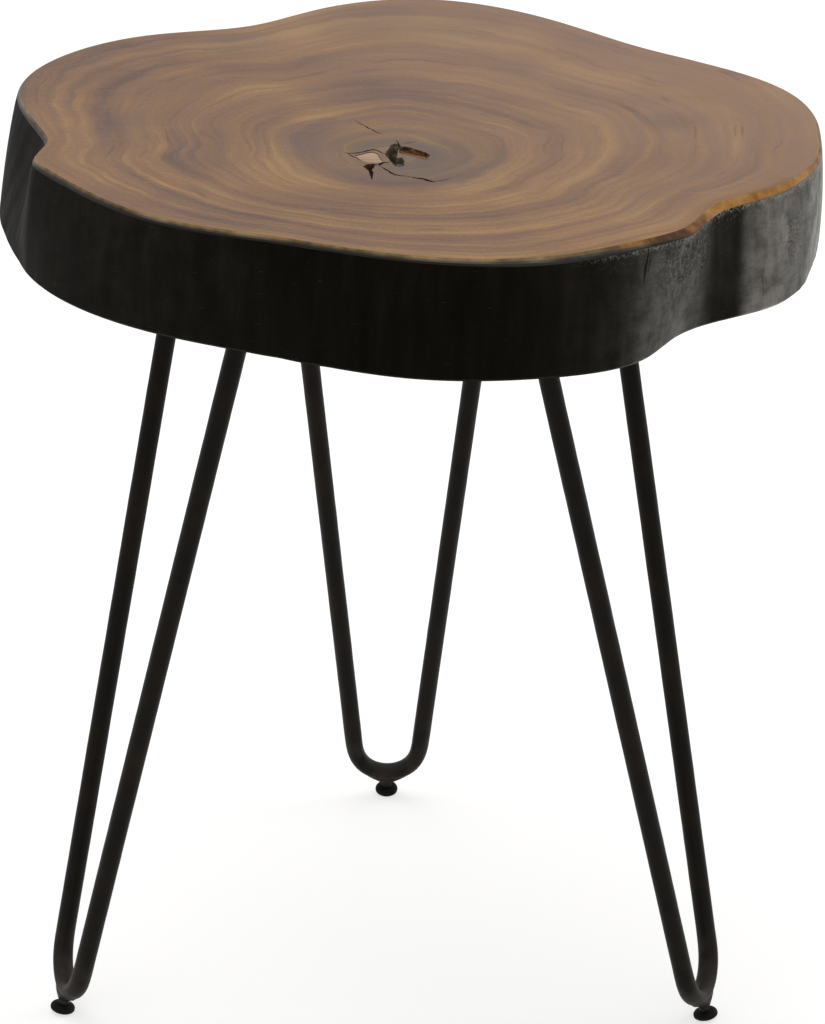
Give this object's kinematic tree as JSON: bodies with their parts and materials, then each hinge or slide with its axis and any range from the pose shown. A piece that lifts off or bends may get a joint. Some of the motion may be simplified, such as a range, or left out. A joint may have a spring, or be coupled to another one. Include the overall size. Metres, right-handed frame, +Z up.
{
  "type": "side table",
  "caption": "Live-edge log slice side table with a dark painted bark side, on splayed black hairpin legs with screw-in levelling feet.",
  "frame": {"origin": "on the floor, under the middle of the slab's bounding box", "axes": "+Z up, -Y towards the front, +X to the right seen from the front"},
  "size_m": [0.4781, 0.4605, 0.57],
  "materials": {
    "log_slice": "satin lacquered end grain, bark side painted near-black",
    "black_steel": "satin black powder coat",
    "zinc_screw": "zinc-plated wood screws",
    "stud_steel": "blackened threaded steel",
    "pad_rubber": "matt black moulded rubber"
  },
  "bodies": {
    "table": {"slab_top": "log_slice", "hairpin_rod_left": "black_steel", "mounting_plate_left": "black_steel", "plate_screws_left": "zinc_screw", "foot_boss_left": "black_steel", "hairpin_rod_back": "black_steel", "mounting_plate_back": "black_steel", "plate_screws_back": "zinc_screw", "foot_boss_back": "black_steel", "hairpin_rod_right": "black_steel", "mounting_plate_right": "black_steel", "plate_screws_right": "zinc_screw", "foot_boss_right": "black_steel"},
    "foot_left": {"leveller_pad_left": "pad_rubber"},
    "stud_left": {"leveller_stud_left": "stud_steel"},
    "foot_back": {"leveller_pad_back": "pad_rubber"},
    "stud_back": {"leveller_stud_back": "stud_steel"},
    "foot_right": {"leveller_pad_right": "pad_rubber"},
    "stud_right": {"leveller_stud_right": "stud_steel"}
  },
  "joints": [
    {"name": "foot_left_travel", "type": "slide", "parent": "table", "child": "foot_left", "axis": [-0.1977, -0.0642, -0.9781], "range_m": [0, 0.006]},
    {"name": "stud_left_turn", "type": "hinge", "parent": "foot_left", "child": "stud_left", "pos_m": [-0.20881, -0.06967, 0], "axis": [-0.1977, -0.0642, -0.9781], "range_deg": [0, 2165]},
    {"name": "foot_back_travel", "type": "slide", "parent": "table", "child": "foot_back", "axis": [-0.0018, 0.2079, -0.9781], "range_m": [0, 0.006]},
    {"name": "stud_back_turn", "type": "hinge", "parent": "foot_back", "child": "stud_back", "pos_m": [-0.00885, 0.20809, 0], "axis": [-0.0018, 0.2079, -0.9781], "range_deg": [0, 2165]},
    {"name": "foot_right_travel", "type": "slide", "parent": "table", "child": "foot_right", "axis": [0.1991, -0.0597, -0.9781], "range_m": [0, 0.006]},
    {"name": "stud_right_turn", "type": "hinge", "parent": "foot_right", "child": "stud_right", "pos_m": [0.19625, -0.06508, 0], "axis": [0.1991, -0.0597, -0.9781], "range_deg": [0, 2165]}
  ],
  "couplings": [
    {"joint": "stud_left_turn", "follows": "foot_left_travel", "rad_per_m": 6283.2},
    {"joint": "stud_back_turn", "follows": "foot_back_travel", "rad_per_m": 6283.2},
    {"joint": "stud_right_turn", "follows": "foot_right_travel", "rad_per_m": 6283.2}
  ]
}
